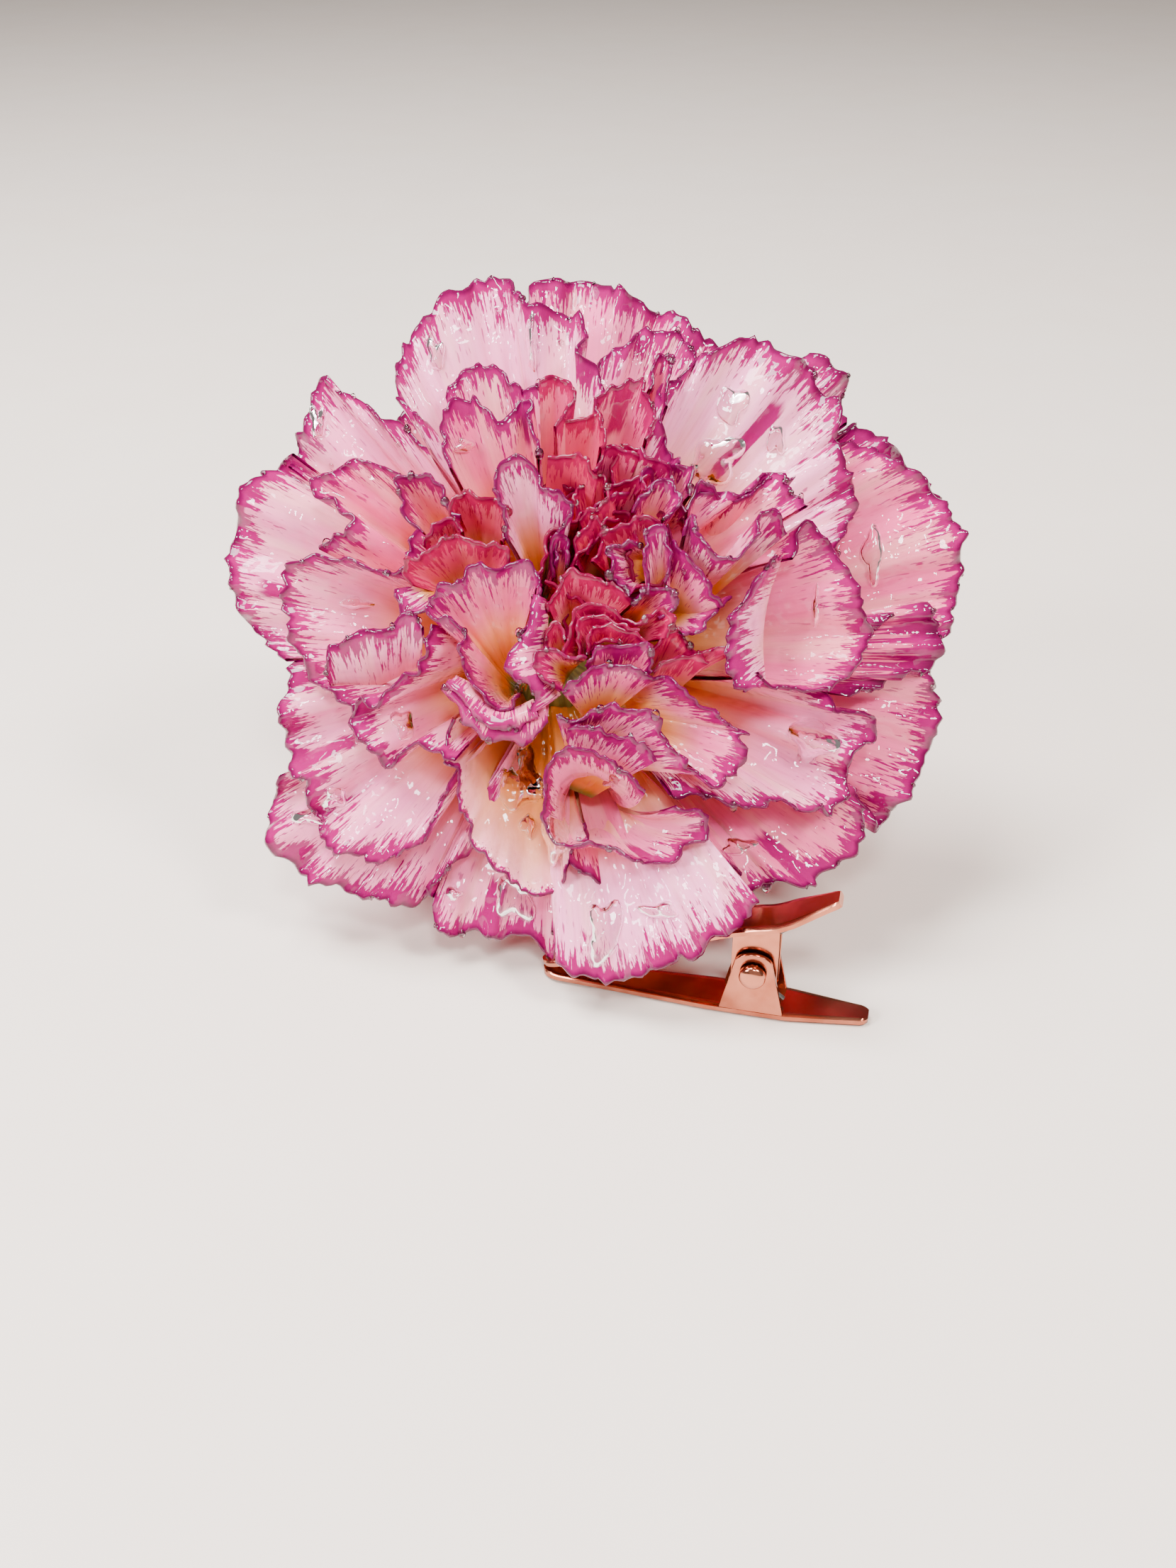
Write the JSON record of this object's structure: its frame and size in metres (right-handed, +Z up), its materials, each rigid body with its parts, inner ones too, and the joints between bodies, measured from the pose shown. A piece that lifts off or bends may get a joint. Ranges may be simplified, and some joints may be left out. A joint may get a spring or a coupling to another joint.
{
  "type": "flower hair clip",
  "caption": "Ruffled carnation bloom coated in clear resin, fixed on a small sprung metal hair clip that lies flat under it.",
  "frame": {"origin": "underside of the clip's lower strip, straight below the hinge pin", "axes": "+Z up from the surface that the clip lies on; the bloom faces -Y and leans back; the clip's levers point to +X, turned 13 degrees towards -Y"},
  "size_m": [0.0688, 0.0471, 0.0558],
  "materials": {
    "petal": "petals under clear glossy resin",
    "calyx": "green calyx under clear resin",
    "resin": "clear cast resin",
    "rose_gold": "rose-gold plated steel, polished",
    "spring_steel": "bright spring wire"
  },
  "bodies": {
    "base": {"base_jaw": "rose_gold", "hinge_pin": "rose_gold", "spring": "spring_steel"},
    "bloom_side": {"bloom": "petal", "calyx": "calyx", "resin_bed": "resin", "top_jaw": "rose_gold"}
  },
  "joints": [
    {"name": "clip_hinge", "type": "hinge", "parent": "base", "child": "bloom_side", "pos_m": [0, 0, 0.005], "axis": [0.225, 0.9744, 0], "range_deg": [0, 28], "stiffness_Nm_per_rad": 0.02, "springref_deg": -8.59, "deforming": ["spring"]}
  ]
}
